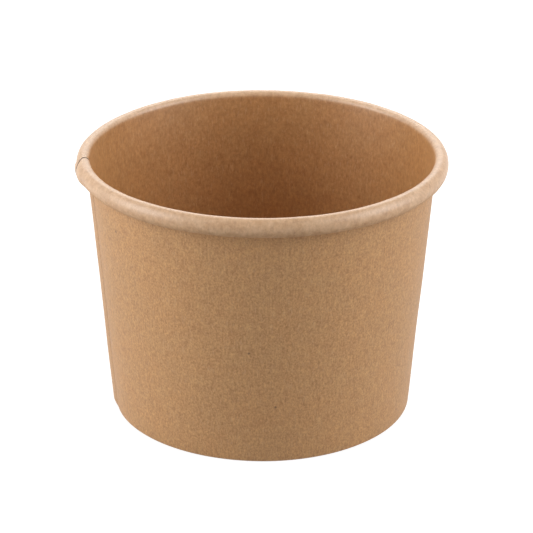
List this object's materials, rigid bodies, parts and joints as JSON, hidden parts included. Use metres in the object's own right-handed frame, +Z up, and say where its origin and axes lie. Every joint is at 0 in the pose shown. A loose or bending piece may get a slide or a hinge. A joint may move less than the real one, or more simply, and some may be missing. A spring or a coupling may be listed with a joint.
{
  "type": "paper ice cream tub",
  "caption": "Open round paper tub with a tapered wall, rolled rim and recessed base, for a scoop of ice cream or other food.",
  "frame": {"origin": "centre of the tub's axis on the plane that it rests on", "axes": "+Z up along the tub's axis, -Y towards the front, the side seam near -X"},
  "size_m": [0.0901, 0.09, 0.0656],
  "materials": {
    "wall_board": "matte uncoated kraft board outside, satin coated face inside and on the rim",
    "base_board": "satin coated kraft board above, matte below"
  },
  "bodies": {
    "root": {"side_wall": "wall_board", "base": "base_board"}
  },
  "joints": []
}
